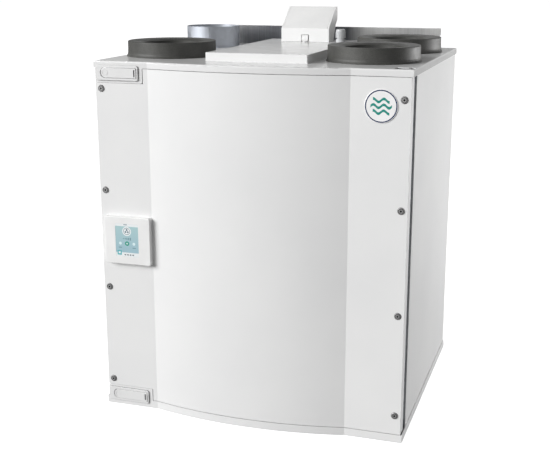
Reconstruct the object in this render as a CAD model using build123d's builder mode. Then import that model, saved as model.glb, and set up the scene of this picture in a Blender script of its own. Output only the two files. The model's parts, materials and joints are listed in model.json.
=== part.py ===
from build123d import *
from math import sqrt
import os

# Heat recovery unit: a ventilation cabinet with a rotary heat exchanger, two fans, two filters, four duct
# connections on top and a bulged door that hinges at its right edge.
# Millimetres. Origin: middle of the base's underside. +Z up, the door faces -Y, +X is to the door's right.

os.makedirs("parts", exist_ok=True)

# ---- Driving dimensions ---------------------------------------------------------------------------------

WIDTH = 657.0               # over the top and bottom trays
HEIGHT = 750.0              # underside of the base to the top sheet
FRONT = -281.5              # flat part of the door and of the tray fronts
BACK = 281.5
BULGE_HALF = 209.0          # the door's bulge runs this far each side of the middle
BULGE_RISE = 26.0
TOP_LIP = 13.5              # front height of the top tray
BASE_LIP = 16.8             # front height of the bottom tray
SHEET = 1.5
SIDE_HALF = 326.0           # over the side panels
SIDE_FRONT = -231.5         # the side panels stop here, behind the door
SIDE_SHEET = 1.2
INSULATION = 30.0
FIT = 0.3                   # clear space between pieces of different bodies

DUCT_R = 62.5               # 125 mm duct connections
DUCT_WALL = 1.0
DUCT_HOLE_R = 64.0
SUPPLY = (-226.0, -115.5)   # front left, to the rooms
OUTDOOR = (216.5, -115.5)   # front right, from outside
EXHAUST = (216.5, 146.5)    # back right, to outside
EXTRACT = (-241.0, 167.0)   # back left, from the rooms: a bare spigot
COLLAR_R = 94.2
COLLAR_HEIGHT = 32.2
COLLAR_LIP = 2.3
SPIGOT_TOP = 798.5

DOOR_HALF = 325.0
DOOR_LOW = 18.0
DOOR_HIGH = 735.5
DOOR_BACK = -253.5
HINGE = (311.0, -249.0)     # vertical axis of the door
PIN_R = 3.0

NOTCH_X = -219.0            # the door is notched around the latches
NOTCH_HIGH = 705.5
NOTCH_LOW = 45.0
TONGUE_X = -220.5           # each tray reaches into its notch with a tongue that carries the latch
TONGUE_GAP = 0.7

SHELF = 375.0               # level of the divider between the two air paths
SHELF_THICK = 8.0
CASSETTE = (10.0, SHELF)    # middle of the rotor, y and z
CASSETTE_HALF = 230.0
CASSETTE_X = 80.0           # half depth of the cassette along the rotor's axis
ROTOR_R = 213.0
ROTOR_X = 75.0
SHAFT_R = 7.45
BEARING_BORE = 7.5
PULLEY = (-178.0, 563.0)
PULLEY_R = 20.0
BELT_THICK = 2.0

FAN_WIDTH = 90.0
IMPELLER_R = 88.0
SCROLL_TOP, SCROLL_FAR, SCROLL_LOW, SCROLL_WALL = 97.0, 104.0, 112.0, 120.0
OUTLET_DEPTH = 100.0

COVER_X = 107.5             # raised cover in the middle of the top
COVER_FRONT, COVER_BACK = -220.5, 216.5
COVER_TOP = 767.0
BOX_HALF = 56.7             # terminal box on that cover

INSIDE_X = SIDE_HALF - SIDE_SHEET - 0.2 - INSULATION
INSIDE_BACK = 248.4
INSIDE_LOW = SHEET + 0.2 + INSULATION
INSIDE_HIGH = HEIGHT - SHEET - 0.2 - INSULATION

BULGE_R = (BULGE_HALF**2 + BULGE_RISE**2) / (2 * BULGE_RISE)


# ---- Helpers --------------------------------------------------------------------------------------------

def save(piece, node):
    """Label the finished piece with its node's name and write it."""
    piece.part.label = node
    export_step(piece.part, f"parts/{node}.step")


def block(x0, x1, y0, y1, z0, z1, mode=Mode.ADD):
    """A box between two corners."""
    with Locations(((x0 + x1) / 2, (y0 + y1) / 2, (z0 + z1) / 2)):
        Box(abs(x1 - x0), abs(y1 - y0), abs(z1 - z0), mode=mode)


def rod_x(x0, x1, y, z, radius, mode=Mode.ADD):
    """A cylinder along X."""
    with Locations(((x0 + x1) / 2, y, z)):
        Cylinder(radius, abs(x1 - x0), rotation=(0, 90, 0), mode=mode)


def rod_y(x, y0, y1, z, radius, mode=Mode.ADD):
    """A cylinder along Y."""
    with Locations((x, (y0 + y1) / 2, z)):
        Cylinder(radius, abs(y1 - y0), rotation=(90, 0, 0), mode=mode)


def rod_z(x, y, z0, z1, radius, mode=Mode.ADD):
    """A cylinder along Z."""
    with Locations((x, y, (z0 + z1) / 2)):
        Cylinder(radius, abs(z1 - z0), mode=mode)


def front_plane(y):
    """A plane parallel to the door: x to the right, y up, extruding towards the room."""
    return Plane(origin=(0, y, 0), x_dir=(1, 0, 0), z_dir=(0, -1, 0))


def plan_outline(half_width, back, inset=0.0):
    """Plan of a tray or the door: flat, bulge and flat along the front, then straight sides and back."""
    front = FRONT + inset
    crease = sqrt((BULGE_R - inset) ** 2 - (BULGE_R - BULGE_RISE - inset) ** 2)
    with BuildSketch() as outline:
        with BuildLine():
            Polyline(
                (-crease, front), (-half_width, front), (-half_width, back),
                (half_width, back), (half_width, front), (crease, front),
            )
            ThreePointArc((crease, front), (0, front - BULGE_RISE), (-crease, front))
        make_face()
    return outline.sketch


TRAY = plan_outline(WIDTH / 2, BACK)
TRAY_INSIDE = plan_outline(WIDTH / 2 - SHEET, BACK - SHEET, SHEET)


# ---- Cabinet sheet metal --------------------------------------------------------------------------------

LATCH_TOP_Z = 726.4
LATCH_BASE_Z = 24.8
LATCH_PIVOT = (-306.4, FRONT - 1.7)
TRAY_EDGE_R = 3.0               # bend of the top tray's upper edge
ARM_SLOT = (-312.4, -285.4)     # window in the tongue that the latch arm swings through
HINGE_SLOTS = ((289.0, 312.6), (316.0, 325.0))     # windows in the top sheet over the hinge, with a web between
HINGE_SLOT_FRONT, HINGE_SLOT_BACK = -271.0, -241.0

with BuildPart() as bottom_plate:
    with BuildSketch():
        add(TRAY)
    extrude(amount=BASE_LIP)
    with BuildSketch(Plane.XY.offset(SHEET)):
        add(TRAY_INSIDE)
    extrude(amount=BASE_LIP, mode=Mode.SUBTRACT)
    block(-DOOR_HALF, TONGUE_X, FRONT, FRONT + SHEET, BASE_LIP - 1, NOTCH_LOW - TONGUE_GAP)
    fillet(bottom_plate.edges().filter_by(Axis.Y).sort_by(Axis.Z)[-1], 4.0)
    block(*ARM_SLOT, FRONT - 1, FRONT + SHEET + 1, LATCH_BASE_Z - 11, LATCH_BASE_Z + 11, mode=Mode.SUBTRACT)
save(bottom_plate, "bottom_plate")

with BuildPart() as top_plate:
    with BuildSketch(Plane.XY.offset(HEIGHT - TOP_LIP)):
        add(TRAY)
    extrude(amount=TOP_LIP)
    with BuildSketch(Plane.XY.offset(HEIGHT - TOP_LIP)):
        add(TRAY_INSIDE)
    extrude(amount=TOP_LIP - SHEET, mode=Mode.SUBTRACT)
    fillet(top_plate.faces().sort_by(Axis.Z)[-1].outer_wire().edges(), TRAY_EDGE_R)
    with Locations(*[(x, y, HEIGHT) for x, y in (SUPPLY, OUTDOOR, EXHAUST, EXTRACT)]):
        Cylinder(DUCT_HOLE_R, 4 * SHEET, mode=Mode.SUBTRACT)
    block(-96, 96, COVER_FRONT + 12, COVER_BACK - 12, HEIGHT - 5, HEIGHT + 5, mode=Mode.SUBTRACT)
    for left, right in HINGE_SLOTS:
        block(left, right, HINGE_SLOT_FRONT, HINGE_SLOT_BACK, HEIGHT - 5, HEIGHT + 5, mode=Mode.SUBTRACT)
    tongue_low = NOTCH_HIGH + TONGUE_GAP
    block(-DOOR_HALF, TONGUE_X, FRONT, FRONT + SHEET, tongue_low, HEIGHT - TOP_LIP + 1)
    fillet(top_plate.edges().filter_by(Axis.Y).group_by(Axis.Z)[0].sort_by(Axis.X)[-1], 4.0)
    block(*ARM_SLOT, FRONT - 1, FRONT + SHEET + 1, LATCH_TOP_Z - 11, LATCH_TOP_Z + 11, mode=Mode.SUBTRACT)
save(top_plate, "top_plate")

with BuildPart() as side_panels:
    for side in (-1, 1):
        block(side * SIDE_HALF, side * (SIDE_HALF - SIDE_SHEET), SIDE_FRONT, BACK - 1.7, 1.6, HEIGHT - 1.6)
save(side_panels, "side_panels")

with BuildPart() as back_panel:
    block(-323, 323, BACK - 2.9, BACK - 1.7, 1.6, HEIGHT - 1.6)
save(back_panel, "back_panel")

# The frame that the door's seal closes on.
FRAME_HALF = 284.0
FRAME_LOW, FRAME_HIGH = 64.0, 688.0
with BuildPart() as front_frame:
    block(-324.6, 324.6, SIDE_FRONT, SIDE_FRONT + 2, 1.7, HEIGHT - 1.7)
    block(-FRAME_HALF, FRAME_HALF, SIDE_FRONT - 1, SIDE_FRONT + 3, FRAME_LOW, FRAME_HIGH, mode=Mode.SUBTRACT)
save(front_frame, "front_frame")

# The hanging rail hooks over a strip on the wall, and two rubber bumpers keep the base as far out.
RAIL_HALF = 288.0
RAIL_TOP = 794.0
RAIL_DEPTH = 10.5
RAIL_SCREWS = [(x, 690.0) for x in (-255, -85, 85, 255)]
with BuildPart() as wall_rail:
    block(-RAIL_HALF, RAIL_HALF, BACK, BACK + 2, 640, RAIL_TOP)
    block(-RAIL_HALF, RAIL_HALF, BACK, BACK + RAIL_DEPTH, RAIL_TOP - 2, RAIL_TOP)
    block(-RAIL_HALF, RAIL_HALF, BACK + RAIL_DEPTH - 2, BACK + RAIL_DEPTH, RAIL_TOP - 16, RAIL_TOP)
    fillet(wall_rail.edges().filter_by(Axis.X).group_by(Axis.Z)[-1], 1.4)
    for x, z in RAIL_SCREWS:
        rod_y(x, BACK - 1, BACK + 3, z, 2.6, mode=Mode.SUBTRACT)
save(wall_rail, "wall_rail")

with BuildPart() as wall_rail_screws:
    for x, z in RAIL_SCREWS:
        rod_y(x, BACK + 0.1, BACK + 2, z, 2.5)
        rod_y(x, BACK + 2, BACK + 5, z, 4.8)
    heads = wall_rail_screws.faces().filter_by(Axis.Y).group_by(Axis.Y)[-1]
    fillet(heads.edges(), 1.2)
save(wall_rail_screws, "wall_rail_screws")

with BuildPart() as wall_bumpers:
    for x in (-240, 240):
        rod_y(x, BACK, BACK + RAIL_DEPTH, 60, 18)
    fillet(wall_bumpers.faces().filter_by(Axis.Y).group_by(Axis.Y)[-1].edges(), 3.0)
save(wall_bumpers, "wall_bumpers")


# ---- Insulation and dividers ----------------------------------------------------------------------------

SLAB_FRONT = SIDE_FRONT + 2.2
SLAB_BACK = BACK - 3.1
OUTER_X = SIDE_HALF - SIDE_SHEET - 0.2

# Slabs inside the sheet metal. The left one is cut from four pieces, the thinnest of them beside the riser duct.
RECESS_LOW = SHELF - SHELF_THICK
RECESS_NEAR, RECESS_FAR = EXTRACT[1] - 65, EXTRACT[1] + 65
RECESS_X = EXTRACT[0] - DUCT_R - 0.5
SEAM = 0.2
with BuildPart() as insulation_walls:
    block(INSIDE_X, OUTER_X, SLAB_FRONT, SLAB_BACK, INSIDE_LOW + SEAM, INSIDE_HIGH - SEAM)
    block(-OUTER_X, -INSIDE_X, SLAB_FRONT, SLAB_BACK, INSIDE_LOW + SEAM, RECESS_LOW - SEAM)
    block(-OUTER_X, -INSIDE_X, SLAB_FRONT, RECESS_NEAR - SEAM, RECESS_LOW, INSIDE_HIGH - SEAM)
    block(-OUTER_X, RECESS_X, RECESS_NEAR, RECESS_FAR, RECESS_LOW, INSIDE_HIGH - SEAM)
    block(-OUTER_X, -INSIDE_X, RECESS_FAR + SEAM, SLAB_BACK, RECESS_LOW, INSIDE_HIGH - SEAM)
    block(-INSIDE_X + SEAM, INSIDE_X - SEAM, INSIDE_BACK, SLAB_BACK, INSIDE_LOW + SEAM, INSIDE_HIGH - SEAM)
    block(-OUTER_X, OUTER_X, SLAB_FRONT, SLAB_BACK, SHEET + 0.2, INSIDE_LOW)
save(insulation_walls, "insulation_walls")

with BuildPart() as insulation_top:
    for side in (-1, 1):
        block(side * 105, side * OUTER_X, SLAB_FRONT, SLAB_BACK, INSIDE_HIGH, HEIGHT - SHEET - 0.2)
    for x, y in (SUPPLY, OUTDOOR, EXHAUST, EXTRACT):
        rod_z(x, y, INSIDE_HIGH - 1, HEIGHT, DUCT_HOLE_R, mode=Mode.SUBTRACT)
save(insulation_top, "insulation_top")

SHELF_LOW = SHELF - SHELF_THICK / 2
SHELF_HIGH = SHELF + SHELF_THICK / 2
# The shelves and filter rails are notched around the rotor's bearings.
BEARING_ROOM = (-CASSETTE_X - 17, CASSETTE_X + 17, CASSETTE[0] - 20, CASSETTE[0] + 20, SHELF - 20, SHELF + 20)
with BuildPart() as mid_shelves:
    for side in (-1, 1):
        block(
            side * (CASSETTE_X + 3.5), side * (INSIDE_X - 0.2), SLAB_FRONT, INSIDE_BACK - 0.2, SHELF_LOW, SHELF_HIGH,
        )
    for x, y in (EXHAUST, EXTRACT):
        rod_z(x, y, SHELF_LOW - 1, SHELF_HIGH + 1, DUCT_R, mode=Mode.SUBTRACT)
    block(*BEARING_ROOM, mode=Mode.SUBTRACT)
save(mid_shelves, "mid_shelves")


# ---- Ducts ----------------------------------------------------------------------------------------------

with BuildPart() as riser_ducts:
    for x, y in (EXHAUST, EXTRACT):
        rod_z(x, y, SHELF_LOW, HEIGHT - 0.4, DUCT_R)
        rod_z(x, y, SHELF_LOW - 1, HEIGHT, DUCT_R - DUCT_WALL, mode=Mode.SUBTRACT)
save(riser_ducts, "riser_ducts")

with BuildPart() as duct_collars:
    for x, y in (SUPPLY, OUTDOOR, EXHAUST):
        with BuildSketch(Plane(origin=(x, y, HEIGHT), x_dir=(1, 0, 0), z_dir=(0, -1, 0))):
            with BuildLine():
                Polyline(
                    (DUCT_R + 0.5, 0), (COLLAR_R + COLLAR_LIP, 0), (COLLAR_R + COLLAR_LIP, 1.8),
                    (COLLAR_R + 0.8, 4.2), (COLLAR_R, 8), (COLLAR_R - 0.4, COLLAR_HEIGHT - 1.6),
                )
                ThreePointArc(
                    (COLLAR_R - 0.4, COLLAR_HEIGHT - 1.6), (COLLAR_R - 0.9, COLLAR_HEIGHT - 0.5),
                    (COLLAR_R - 2, COLLAR_HEIGHT),
                )
                # The top dishes inwards to the bore.
                Polyline(
                    (COLLAR_R - 2, COLLAR_HEIGHT), (DUCT_R + 8, COLLAR_HEIGHT - 1.5),
                    (DUCT_R + 0.5, COLLAR_HEIGHT - 5), (DUCT_R + 0.5, 0),
                )
            make_face()
        revolve(axis=Axis((x, y, 0), (0, 0, 1)))
save(duct_collars, "duct_collars")

with BuildPart() as extract_spigot:
    rod_z(*EXTRACT, HEIGHT, SPIGOT_TOP, DUCT_R)
    rod_z(*EXTRACT, HEIGHT, HEIGHT + 1, DUCT_R + 9)
    rod_z(*EXTRACT, HEIGHT - 1, SPIGOT_TOP + 1, DUCT_R - DUCT_WALL, mode=Mode.SUBTRACT)
save(extract_spigot, "extract_spigot")

# Reheater: a square duct under the supply connection, with heating rods across it.
HEATER_HALF = 65.0
HEATER_LOW = 641.0
with BuildPart() as reheater_housing:
    x, y = SUPPLY
    block(x - HEATER_HALF, x + HEATER_HALF, y - HEATER_HALF, y + HEATER_HALF, HEATER_LOW, INSIDE_HIGH - 0.2)
    inner = HEATER_HALF - SHEET
    block(x - inner, x + inner, y - inner, y + inner, HEATER_LOW + SHEET, INSIDE_HIGH, mode=Mode.SUBTRACT)
    block(
        x - FAN_WIDTH / 2 + SHEET, x + FAN_WIDTH / 2 - SHEET, y - OUTLET_DEPTH / 2 + SHEET,
        y + OUTLET_DEPTH / 2 - SHEET, HEATER_LOW - 1, HEATER_LOW + 3, mode=Mode.SUBTRACT,
    )
save(reheater_housing, "reheater_housing")

with BuildPart() as reheater_rods:
    for level in (658, 674):
        for step in (-45, -27, -9, 9, 27, 45):
            rod_y(SUPPLY[0] + step, SUPPLY[1] - HEATER_HALF + SHEET, SUPPLY[1] + HEATER_HALF - SHEET, level, 3.5)
save(reheater_rods, "reheater_rods")


# ---- Rotary heat exchanger ------------------------------------------------------------------------------

ROTOR_Y, ROTOR_Z = CASSETTE
OPENING_R = 205.0

with BuildPart() as cassette_shell:
    low, high = ROTOR_Z - CASSETTE_HALF, ROTOR_Z + CASSETTE_HALF
    near, far = ROTOR_Y - CASSETTE_HALF, ROTOR_Y + CASSETTE_HALF
    block(-CASSETTE_X, CASSETTE_X, near, far, low, high)
    block(-CASSETTE_X - 1, CASSETTE_X + 1, near + SHEET, far - SHEET, low + SHEET, high - SHEET, mode=Mode.SUBTRACT)
    # Channels that close the air paths below and above the cassette.
    for z0, z1 in ((INSIDE_LOW, low - 0.2), (high + 0.2, 690)):
        block(-CASSETTE_X - 3, CASSETTE_X + 3, SLAB_FRONT, far, z0, z1)
        cut_low = z0 - 1 if z0 < SHELF else z0 + SHEET
        cut_high = z1 - SHEET if z0 < SHELF else z1 + 1
        inner = CASSETTE_X + 3 - SHEET
        block(-inner, inner, SLAB_FRONT - 1, far + 1, cut_low, cut_high, mode=Mode.SUBTRACT)
save(cassette_shell, "cassette_shell")

with BuildPart() as cassette_faces:
    for side in (-1, 1):
        x0, x1 = side * (CASSETTE_X + 0.2), side * (CASSETTE_X + 3)
        block(x0, x1, near, far, low, high)
        rod_x(x0 - side, x1 + side, ROTOR_Y, ROTOR_Z, OPENING_R, mode=Mode.SUBTRACT)
        block(x0, x1, ROTOR_Y - OPENING_R - 5, ROTOR_Y + OPENING_R + 5, ROTOR_Z - 20, ROTOR_Z + 20)
        rod_x(x0 - side, x1 + side, ROTOR_Y, ROTOR_Z, SHAFT_R + 2, mode=Mode.SUBTRACT)
save(cassette_faces, "cassette_faces")

with BuildPart() as brush_seals:
    for side in (-1, 1):
        x0, x1 = side * (ROTOR_X + FIT), side * (CASSETTE_X - 0.1)
        rod_x(x0, x1, ROTOR_Y, ROTOR_Z, ROTOR_R)
        rod_x(x0 - side, x1 + side, ROTOR_Y, ROTOR_Z, OPENING_R, mode=Mode.SUBTRACT)
save(brush_seals, "brush_seals")

with BuildPart() as rotor_rim:
    rod_x(-ROTOR_X, ROTOR_X, ROTOR_Y, ROTOR_Z, ROTOR_R)
    rod_x(-ROTOR_X - 1, ROTOR_X + 1, ROTOR_Y, ROTOR_Z, ROTOR_R - 2, mode=Mode.SUBTRACT)
save(rotor_rim, "rotor_rim")

# The matrix: layers of foil wound around the hub, tied by radial walls.
HUB_R = 30.0
FOIL = 1.2
FOIL_PITCH = 6.0
FOIL_LAYERS = int((ROTOR_R - 2 - HUB_R) / FOIL_PITCH)
RADIAL_WALLS = 6
with BuildPart() as rotor_matrix:
    with BuildSketch(Plane(origin=(-ROTOR_X, ROTOR_Y, ROTOR_Z), x_dir=(0, 1, 0), z_dir=(1, 0, 0))):
        for layer in range(FOIL_LAYERS + 1):
            Circle(ROTOR_R - 2 - layer * FOIL_PITCH)
            Circle(ROTOR_R - 2 - layer * FOIL_PITCH - FOIL, mode=Mode.SUBTRACT)
        with PolarLocations((ROTOR_R - 2 + HUB_R) / 2, RADIAL_WALLS):
            Rectangle(ROTOR_R - 3 - HUB_R, FOIL)
        Circle(HUB_R, mode=Mode.SUBTRACT)
    extrude(amount=2 * ROTOR_X)
save(rotor_matrix, "rotor_matrix")

# The hub, with six flat spokes across each face of the matrix.
with BuildPart() as rotor_hub:
    rod_x(-ROTOR_X - 1.5, ROTOR_X + 1.5, ROTOR_Y, ROTOR_Z, HUB_R)
    for side in (-1, 1):
        face = Plane(origin=(side * ROTOR_X, ROTOR_Y, ROTOR_Z), x_dir=(0, 1, 0), z_dir=(side, 0, 0))
        with BuildSketch(face):
            with PolarLocations((OPENING_R + HUB_R) / 2 - 5, 6):
                Rectangle(OPENING_R - HUB_R + 5, 7)
        extrude(amount=1.5)
    rod_x(-ROTOR_X - 3, ROTOR_X + 3, ROTOR_Y, ROTOR_Z, SHAFT_R, mode=Mode.SUBTRACT)
save(rotor_hub, "rotor_hub")

SHAFT_END = CASSETTE_X + 14
with BuildPart() as rotor_shaft:
    rod_x(-SHAFT_END, SHAFT_END, ROTOR_Y, ROTOR_Z, SHAFT_R)
    chamfer(rotor_shaft.edges().filter_by(GeomType.CIRCLE), 1.0)
save(rotor_shaft, "rotor_shaft")

with BuildPart() as rotor_bearings:
    for side in (-1, 1):
        rod_x(side * (CASSETTE_X + 3), side * (CASSETTE_X + 13), ROTOR_Y, ROTOR_Z, 18)
        rod_x(side * (CASSETTE_X + 2), side * (CASSETTE_X + 14), ROTOR_Y, ROTOR_Z, BEARING_BORE, mode=Mode.SUBTRACT)
save(rotor_bearings, "rotor_bearings")

PULLEY_X = (56.0, 72.0)
MOTOR_BORE = 4.05
with BuildPart() as rotor_motor:
    rod_x(-45, PULLEY_X[0] - 4, *PULLEY, 30)
    rod_x(-CASSETTE_X, -45, *PULLEY, 12)
    rod_x(PULLEY_X[0] - 24, PULLEY_X[0], *PULLEY, MOTOR_BORE, mode=Mode.SUBTRACT)
save(rotor_motor, "rotor_motor")

with BuildPart() as motor_pulley:
    rod_x(*PULLEY_X, *PULLEY, PULLEY_R + 3)
    rod_x(PULLEY_X[0] + 2, PULLEY_X[1] - 2, *PULLEY, PULLEY_R + 4, mode=Mode.SUBTRACT)
    rod_x(PULLEY_X[0] + 2, PULLEY_X[1] - 2, *PULLEY, PULLEY_R)
    rod_x(PULLEY_X[0] - 20, PULLEY_X[0], *PULLEY, MOTOR_BORE - 0.05)
save(motor_pulley, "motor_pulley")


def belt_loop(thickness):
    """Taut loop around the wheel and the pulley, seen along the axis."""
    with BuildSketch() as loop:
        with Locations(CASSETTE):
            Circle(ROTOR_R + FIT + thickness)
        with Locations(PULLEY):
            Circle(PULLEY_R + FIT + thickness)
        make_hull()
    return loop.sketch


BELT_OUTSIDE = belt_loop(BELT_THICK)
BELT_INSIDE = belt_loop(0.0)
with BuildPart() as drive_belt:
    with BuildSketch(Plane.YZ.offset(PULLEY_X[0] + 3)):
        add(BELT_OUTSIDE)
        add(BELT_INSIDE, mode=Mode.SUBTRACT)
    extrude(amount=PULLEY_X[1] - PULLEY_X[0] - 6)
save(drive_belt, "drive_belt")


# ---- Fans -----------------------------------------------------------------------------------------------

def build_fan(name, x, outlet_y, into, z, outlet_z, floor, inlet):
    """A scroll housing with its outlet up, its motor and its impeller.

    The straight outlet wall lies on the side away from the impeller; into is the direction (+1 or -1) in y
    from it to the impeller, and inlet is the side in x that the impeller draws air from."""
    y = outlet_y - into * OUTLET_DEPTH / 2 + into * SCROLL_WALL
    wall = y - into * SCROLL_WALL
    cutoff = wall + into * OUTLET_DEPTH
    top = (y, z + SCROLL_TOP)
    far = (y + into * SCROLL_FAR, z)
    low = (y, z - SCROLL_LOW)
    half = sqrt(0.5)    # sine and cosine of 45 degrees
    with BuildSketch() as scroll:
        with BuildLine():
            ThreePointArc(top, (y + into * half * SCROLL_FAR, z + half * SCROLL_TOP), far)
            ThreePointArc(far, (y + into * half * SCROLL_FAR, z - half * SCROLL_LOW), low)
            ThreePointArc(low, (y - into * half * SCROLL_WALL, z - half * SCROLL_LOW), (wall, z))
            Polyline((wall, z), (wall, outlet_z), (cutoff, outlet_z), (cutoff, z + SCROLL_TOP), top)
        make_face()
    outside = scroll.sketch
    inside = offset(outside, amount=-SHEET)
    low_x, high_x = x - FAN_WIDTH / 2, x + FAN_WIDTH / 2
    motor_face = x - inlet * FAN_WIDTH / 2

    with BuildPart() as housing:
        for side_x in (low_x, high_x - 3):
            block(side_x, side_x + 3, y - 60, y + 60, floor, z - 60)
        with BuildSketch(Plane.YZ.offset(low_x)):
            add(outside)
        extrude(amount=FAN_WIDTH)
        with BuildSketch(Plane.YZ.offset(low_x + SHEET)):
            add(inside)
        extrude(amount=FAN_WIDTH - 2 * SHEET, mode=Mode.SUBTRACT)
        block(
            low_x + SHEET, high_x - SHEET, wall + into * SHEET, cutoff - into * SHEET, outlet_z - 10, outlet_z + 1,
            mode=Mode.SUBTRACT,
        )
        rod_x(x, x + inlet * FAN_WIDTH, y, z, IMPELLER_R - 12, mode=Mode.SUBTRACT)
        rod_x(x, x - inlet * FAN_WIDTH, y, z, 40, mode=Mode.SUBTRACT)
    save(housing, f"{name}_fan_housing")

    with BuildPart() as motor:
        rod_x(motor_face - inlet * 0.2, motor_face - inlet * 3, y, z, 50)
        rod_x(motor_face - inlet * 22, motor_face + inlet * 9, y, z, 37)
        rod_x(motor_face - inlet * 14, motor_face + inlet * 10, y, z, 5.05, mode=Mode.SUBTRACT)
    save(motor, f"{name}_fan_motor")

    back = motor_face + inlet * 12
    with BuildPart() as impeller:
        rod_x(back, back + inlet * 2, y, z, IMPELLER_R)
        rod_x(back - inlet * 22, back + inlet, y, z, 5)
        rod_x(back, back + inlet * 22, y, z, 18)
        with BuildSketch(Plane(origin=(back + inlet, y, z), x_dir=(0, 1, 0), z_dir=(inlet, 0, 0))):
            with PolarLocations(60, 9):
                Rectangle(46, 1.6, rotation=38)
        extrude(amount=61)
        rod_x(back + inlet * 61.5, back + inlet * 64, y, z, IMPELLER_R)
        rod_x(back + inlet * 61.5, back + inlet * 65, y, z, IMPELLER_R - 26, mode=Mode.SUBTRACT)
    save(impeller, f"{name}_fan_impeller")


build_fan("supply", SUPPLY[0], SUPPLY[1], 1, 508, HEATER_LOW - 0.2, SHELF_HIGH + 0.2, 1)
build_fan("exhaust", EXHAUST[0], EXHAUST[1], -1, 185, SHELF_LOW - 0.2, INSIDE_LOW + 0.2, -1)


# ---- Filters --------------------------------------------------------------------------------------------

FILTER_X = (95.0, 143.0)
FILTER_NEAR, FILTER_FAR = -225.0, 245.0
SUPPLY_FILTER_Z = (385.0, 604.0)
EXTRACT_FILTER_Z = (148.0, 367.0)
FILTERS = (("supply", 1, SUPPLY_FILTER_Z), ("extract", -1, EXTRACT_FILTER_Z))
PLEATS = 38
PLEAT_SHIFT = 3.6       # the paper's thickness, measured across the filter

for name, side, (low_z, high_z) in FILTERS:
    with BuildPart() as filter_frame:
        block(side * FILTER_X[0], side * FILTER_X[1], FILTER_NEAR, FILTER_FAR, low_z, high_z)
        block(
            side * (FILTER_X[0] - 1), side * (FILTER_X[1] + 1), FILTER_NEAR + 3, FILTER_FAR - 3, low_z + 3, high_z - 3,
            mode=Mode.SUBTRACT,
        )
        # Pull tab on the front edge.
        block(side * 109, side * 129, FILTER_NEAR - 3, FILTER_NEAR, (low_z + high_z) / 2 - 25, (low_z + high_z) / 2 + 25)
    save(filter_frame, f"{name}_filter_frame")

    pitch = (FILTER_FAR - FILTER_NEAR - 8) / PLEATS
    shallow, deep = side * (FILTER_X[0] + 2), side * (FILTER_X[1] - 2 - PLEAT_SHIFT)
    ridge = [(shallow if i % 2 else deep, FILTER_NEAR + 3.2 + i * pitch) for i in range(PLEATS + 1)]
    with BuildPart() as filter_media:
        with BuildSketch(Plane.XY.offset(low_z + 3.2)):
            with BuildLine():
                Polyline(*ridge, *[(x + side * PLEAT_SHIFT, y) for x, y in reversed(ridge)], close=True)
            make_face()
        extrude(amount=high_z - low_z - 6.4)
    save(filter_media, f"{name}_filter_media")

with BuildPart() as filter_rails:
    for _, side, (low_z, high_z) in FILTERS:
        for edge, away in ((low_z - 1, -1), (high_z + 1, 1)):
            wall = side * (CASSETTE_X + 3.2)
            block(wall, side * (FILTER_X[1] + 3), SLAB_FRONT, INSIDE_BACK - 0.2, edge, edge + away * SHEET)
            for x in (FILTER_X[0] - 3, FILTER_X[1] + 1.5):
                block(side * x, side * (x + 1.5), SLAB_FRONT, INSIDE_BACK - 0.2, edge, edge - away * 9)
    block(*BEARING_ROOM, mode=Mode.SUBTRACT)
save(filter_rails, "filter_rails")


# ---- Electrics under the raised cover -------------------------------------------------------------------

TRAY_LOW = 690.2
with BuildPart() as electrics_tray:
    block(-104, 104, COVER_FRONT + 8, COVER_BACK - 8, TRAY_LOW, HEIGHT - SHEET - 0.2)
    inner = 104 - SHEET
    block(
        -inner, inner, COVER_FRONT + 8 + SHEET, COVER_BACK - 8 - SHEET, TRAY_LOW + SHEET, HEIGHT, mode=Mode.SUBTRACT,
    )
save(electrics_tray, "electrics_tray")

BOARD_Z = 702.0
with BuildPart() as control_board:
    block(-80, 80, -180, 20, BOARD_Z, BOARD_Z + 1.6)
    with GridLocations(144, 184, 2, 2):
        with Locations((0, -80, (TRAY_LOW + SHEET + BOARD_Z) / 2)):
            Cylinder(3, BOARD_Z - TRAY_LOW - SHEET)
    top = BOARD_Z + 1.6
    block(-70, -20, -170, -120, top, top + 24)        # transformer
    for x in (-5, 20, 45):
        block(x, x + 16, -168, -140, top, top + 15)   # relays
    for y in (-60, -35, -10):
        rod_z(-62, y, top, top + 22, 9)               # capacitors
    block(-30, 6, -80, -44, top, top + 2.5)           # processor
    block(50, 62, -110, 10, top, top + 12)            # plug strip
save(control_board, "control_board")

# Terminals on a rail: one clamp block for each wire.
with BuildPart() as terminal_strip:
    block(-88, 88, 60, 95, TRAY_LOW + SHEET, TRAY_LOW + SHEET + 8)
    with BuildSketch(Plane.XY.offset(TRAY_LOW + SHEET + 8)):
        with Locations((0, 77.5)):
            with GridLocations(12, 0, 14, 1):
                Rectangle(10.5, 44)
    extrude(amount=26)
    with BuildSketch(Plane.XY.offset(TRAY_LOW + SHEET + 34)):
        with Locations((0, 77.5)):
            with GridLocations(12, 28, 14, 2):
                Circle(3.4)
    extrude(amount=-4, mode=Mode.SUBTRACT)
save(terminal_strip, "terminal_strip")

GLAND = (86.0, 124.0)
GLAND_BORE = 5.0
with BuildPart() as electrics_cover:
    block(-COVER_X, COVER_X, COVER_FRONT, COVER_BACK, HEIGHT, COVER_TOP)
    fillet(electrics_cover.edges().filter_by(Axis.Z), 2.0)
    fillet(electrics_cover.faces().sort_by(Axis.Z)[-1].edges(), 1.2)
    inner = COVER_X - SHEET
    block(-inner, inner, COVER_FRONT + SHEET, COVER_BACK - SHEET, HEIGHT - 1, COVER_TOP - SHEET, mode=Mode.SUBTRACT)
    rod_z(*GLAND, COVER_TOP - 3, COVER_TOP + 1, GLAND_BORE, mode=Mode.SUBTRACT)
    rod_z(0, 165, COVER_TOP - 3, COVER_TOP + 1, 14, mode=Mode.SUBTRACT)
save(electrics_cover, "electrics_cover")

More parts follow.
